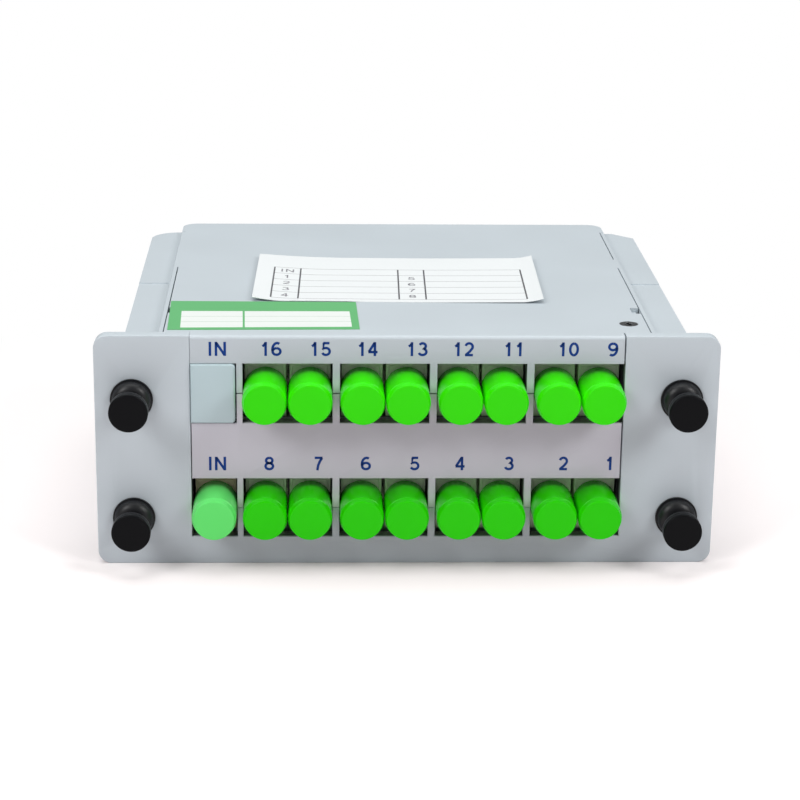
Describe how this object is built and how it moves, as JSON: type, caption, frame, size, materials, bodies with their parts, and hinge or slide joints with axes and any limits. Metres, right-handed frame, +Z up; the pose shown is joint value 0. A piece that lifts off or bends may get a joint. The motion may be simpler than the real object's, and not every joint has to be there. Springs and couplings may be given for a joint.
{
  "type": "plc fibre splitter",
  "caption": "Light grey plug-in cassette that splits one optical fibre into many: two rows of capped ports, side guide wings, a screwed cover and black push fasteners.",
  "frame": {"origin": "on the underside, on the centreline, in the plane of the ears' back face that seats on the chassis", "axes": "+X to the right seen from the front, +Y from the panel back into the chassis, +Z up"},
  "size_m": [0.13, 0.1126, 0.0501],
  "materials": {
    "shell": "light grey moulded ABS, fine satin",
    "blank": "light grey moulded ABS, a shade cooler",
    "screw": "blackened steel",
    "adapter": "pale grey moulded plastic",
    "adapter_input": "beige moulded plastic",
    "dust_cap": "bright green soft plastic, satin",
    "dust_cap_input": "pale green soft plastic, satin",
    "fastener": "black nylon, satin",
    "paper": "white paper label",
    "green_film": "green printed label",
    "ceramic": "white zirconia",
    "plug": "green moulded plug housings",
    "jacket": "white flexible jacket",
    "steel": "drawn stainless steel",
    "chip_glass": "potted silica waveguide chip",
    "ribbon": "coated fibre ribbon stack"
  },
  "bodies": {
    "case": {"base": "shell", "top_cover": "shell", "mid_shelf": "shell", "blank_plug": "blank", "cover_screws": "screw", "adapter_in": "adapter_input", "adapter_1": "adapter", "adapter_2": "adapter", "adapter_3": "adapter", "adapter_4": "adapter", "adapter_5": "adapter", "adapter_6": "adapter", "adapter_7": "adapter", "adapter_8": "adapter", "adapter_9": "adapter", "adapter_10": "adapter", "adapter_11": "adapter", "adapter_12": "adapter", "adapter_13": "adapter", "adapter_14": "adapter", "adapter_15": "adapter", "adapter_16": "adapter", "grommet_1": "fastener", "grommet_2": "fastener", "grommet_3": "fastener", "grommet_4": "fastener", "paper_label": "paper", "green_label": "green_film", "alignment_sleeves": "ceramic", "ferrules": "ceramic", "rear_plugs": "plug", "rear_boots": "jacket", "chip_tube": "steel", "splitter_chip": "chip_glass", "fan_out_block": "fastener", "output_fibres": "jacket", "input_fibre": "jacket", "fibre_ribbon": "ribbon"},
    "cap_in": {"cap_in": "dust_cap_input"},
    "cap_1": {"cap_1": "dust_cap"},
    "cap_2": {"cap_2": "dust_cap"},
    "cap_3": {"cap_3": "dust_cap"},
    "cap_4": {"cap_4": "dust_cap"},
    "cap_5": {"cap_5": "dust_cap"},
    "cap_6": {"cap_6": "dust_cap"},
    "cap_7": {"cap_7": "dust_cap"},
    "cap_8": {"cap_8": "dust_cap"},
    "cap_9": {"cap_9": "dust_cap"},
    "cap_10": {"cap_10": "dust_cap"},
    "cap_11": {"cap_11": "dust_cap"},
    "cap_12": {"cap_12": "dust_cap"},
    "cap_13": {"cap_13": "dust_cap"},
    "cap_14": {"cap_14": "dust_cap"},
    "cap_15": {"cap_15": "dust_cap"},
    "cap_16": {"cap_16": "dust_cap"},
    "plunger_1": {"plunger_1": "fastener"},
    "plunger_2": {"plunger_2": "fastener"},
    "plunger_3": {"plunger_3": "fastener"},
    "plunger_4": {"plunger_4": "fastener"}
  },
  "joints": [
    {"name": "cap_in_pull", "type": "slide", "parent": "case", "child": "cap_in", "axis": [0, -1, 0], "range_m": [0, 0.02]},
    {"name": "cap_1_pull", "type": "slide", "parent": "case", "child": "cap_1", "axis": [0, -1, 0], "range_m": [0, 0.02]},
    {"name": "cap_2_pull", "type": "slide", "parent": "case", "child": "cap_2", "axis": [0, -1, 0], "range_m": [0, 0.02]},
    {"name": "cap_3_pull", "type": "slide", "parent": "case", "child": "cap_3", "axis": [0, -1, 0], "range_m": [0, 0.02]},
    {"name": "cap_4_pull", "type": "slide", "parent": "case", "child": "cap_4", "axis": [0, -1, 0], "range_m": [0, 0.02]},
    {"name": "cap_5_pull", "type": "slide", "parent": "case", "child": "cap_5", "axis": [0, -1, 0], "range_m": [0, 0.02]},
    {"name": "cap_6_pull", "type": "slide", "parent": "case", "child": "cap_6", "axis": [0, -1, 0], "range_m": [0, 0.02]},
    {"name": "cap_7_pull", "type": "slide", "parent": "case", "child": "cap_7", "axis": [0, -1, 0], "range_m": [0, 0.02]},
    {"name": "cap_8_pull", "type": "slide", "parent": "case", "child": "cap_8", "axis": [0, -1, 0], "range_m": [0, 0.02]},
    {"name": "cap_9_pull", "type": "slide", "parent": "case", "child": "cap_9", "axis": [0, -1, 0], "range_m": [0, 0.02]},
    {"name": "cap_10_pull", "type": "slide", "parent": "case", "child": "cap_10", "axis": [0, -1, 0], "range_m": [0, 0.02]},
    {"name": "cap_11_pull", "type": "slide", "parent": "case", "child": "cap_11", "axis": [0, -1, 0], "range_m": [0, 0.02]},
    {"name": "cap_12_pull", "type": "slide", "parent": "case", "child": "cap_12", "axis": [0, -1, 0], "range_m": [0, 0.02]},
    {"name": "cap_13_pull", "type": "slide", "parent": "case", "child": "cap_13", "axis": [0, -1, 0], "range_m": [0, 0.02]},
    {"name": "cap_14_pull", "type": "slide", "parent": "case", "child": "cap_14", "axis": [0, -1, 0], "range_m": [0, 0.02]},
    {"name": "cap_15_pull", "type": "slide", "parent": "case", "child": "cap_15", "axis": [0, -1, 0], "range_m": [0, 0.02]},
    {"name": "cap_16_pull", "type": "slide", "parent": "case", "child": "cap_16", "axis": [0, -1, 0], "range_m": [0, 0.02]},
    {"name": "plunger_1_push", "type": "slide", "parent": "case", "child": "plunger_1", "axis": [0, 1, 0], "range_m": [0, 0.0045]},
    {"name": "plunger_2_push", "type": "slide", "parent": "case", "child": "plunger_2", "axis": [0, 1, 0], "range_m": [0, 0.0045]},
    {"name": "plunger_3_push", "type": "slide", "parent": "case", "child": "plunger_3", "axis": [0, 1, 0], "range_m": [0, 0.0045]},
    {"name": "plunger_4_push", "type": "slide", "parent": "case", "child": "plunger_4", "axis": [0, 1, 0], "range_m": [0, 0.0045]}
  ]
}
